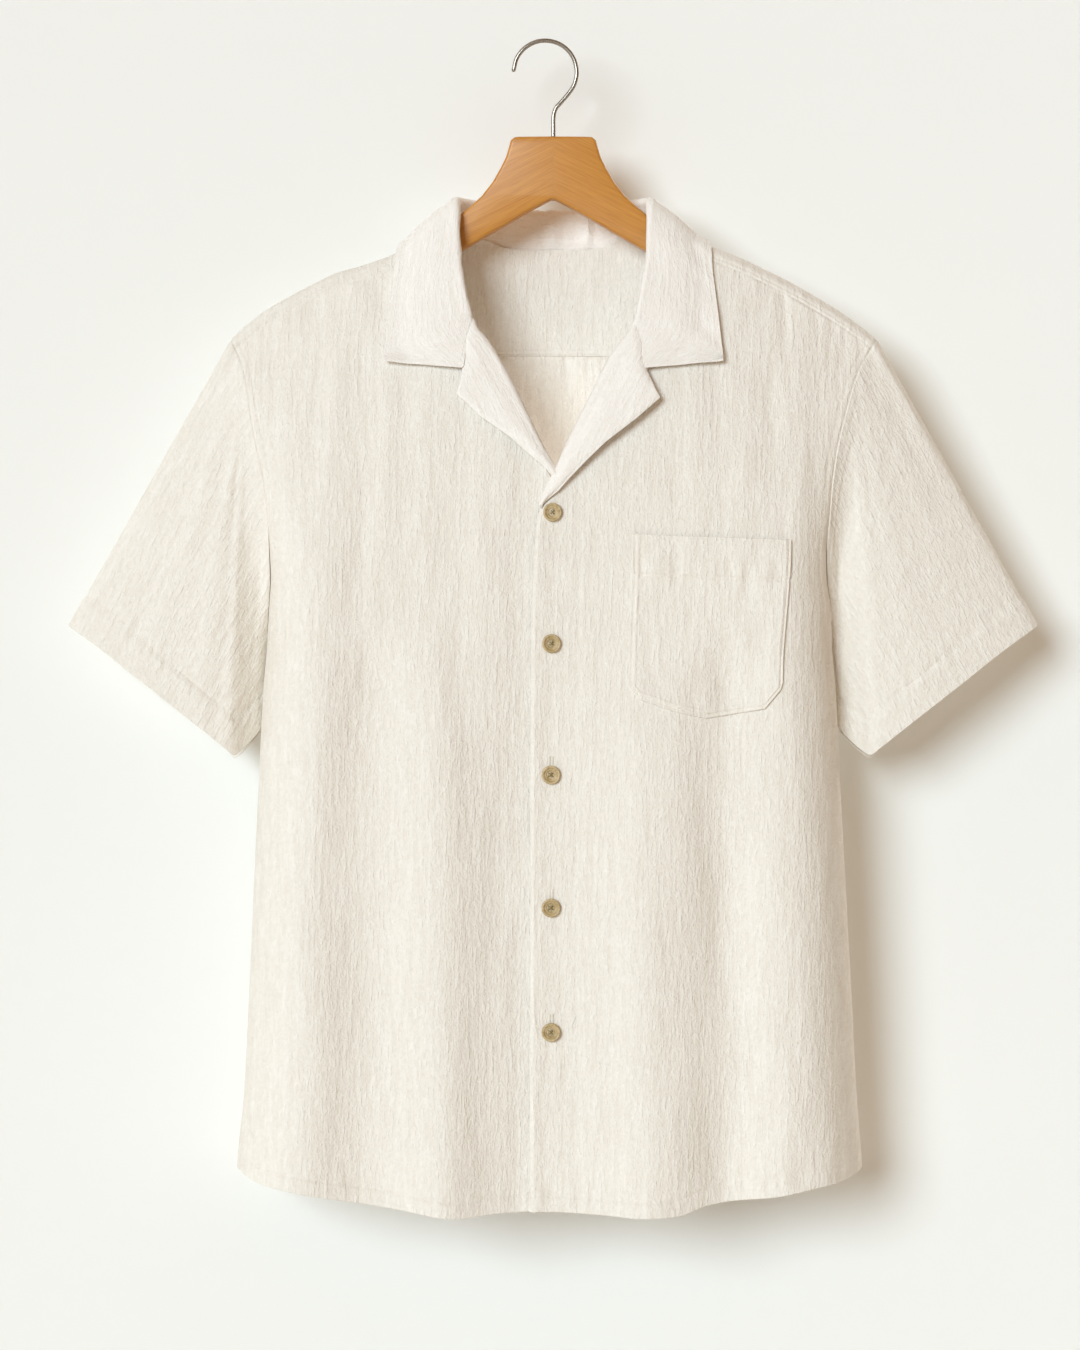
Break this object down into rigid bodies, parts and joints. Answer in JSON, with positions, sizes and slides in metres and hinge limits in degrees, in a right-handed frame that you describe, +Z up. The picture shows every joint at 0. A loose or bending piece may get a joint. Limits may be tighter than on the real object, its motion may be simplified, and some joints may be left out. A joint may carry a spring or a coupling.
{
  "type": "camp shirt on a hanger",
  "caption": "Short-sleeved button-front camp shirt with an open notched collar and a chest patch pocket, hanging on a flat wooden hanger with a wire hook.",
  "frame": {"origin": "inner top of the hook's bow, where a rail carries the hanger", "axes": "+Z up, +X to the viewer's right of the shirt's front, -Y out of the shirt's front, +Y out of its back"},
  "size_m": [0.711, 0.1144, 0.8571],
  "materials": {
    "cloth": "off-white crinkled cotton gauze, matt",
    "button": "tan horn-like, satin",
    "wood": "honey-coloured, clear satin varnish",
    "steel": "nickel-plated wire, satin bright"
  },
  "bodies": {
    "root": {"front_left": "cloth", "front_right": "cloth", "back": "cloth", "yoke": "cloth", "sleeve_left": "cloth", "sleeve_right": "cloth", "collar": "cloth", "facing_left": "cloth", "facing_right": "cloth", "pocket": "cloth", "button_1": "button", "button_2": "button", "button_3": "button", "button_4": "button", "button_5": "button", "hanger": "wood", "hook": "steel"}
  },
  "joints": []
}
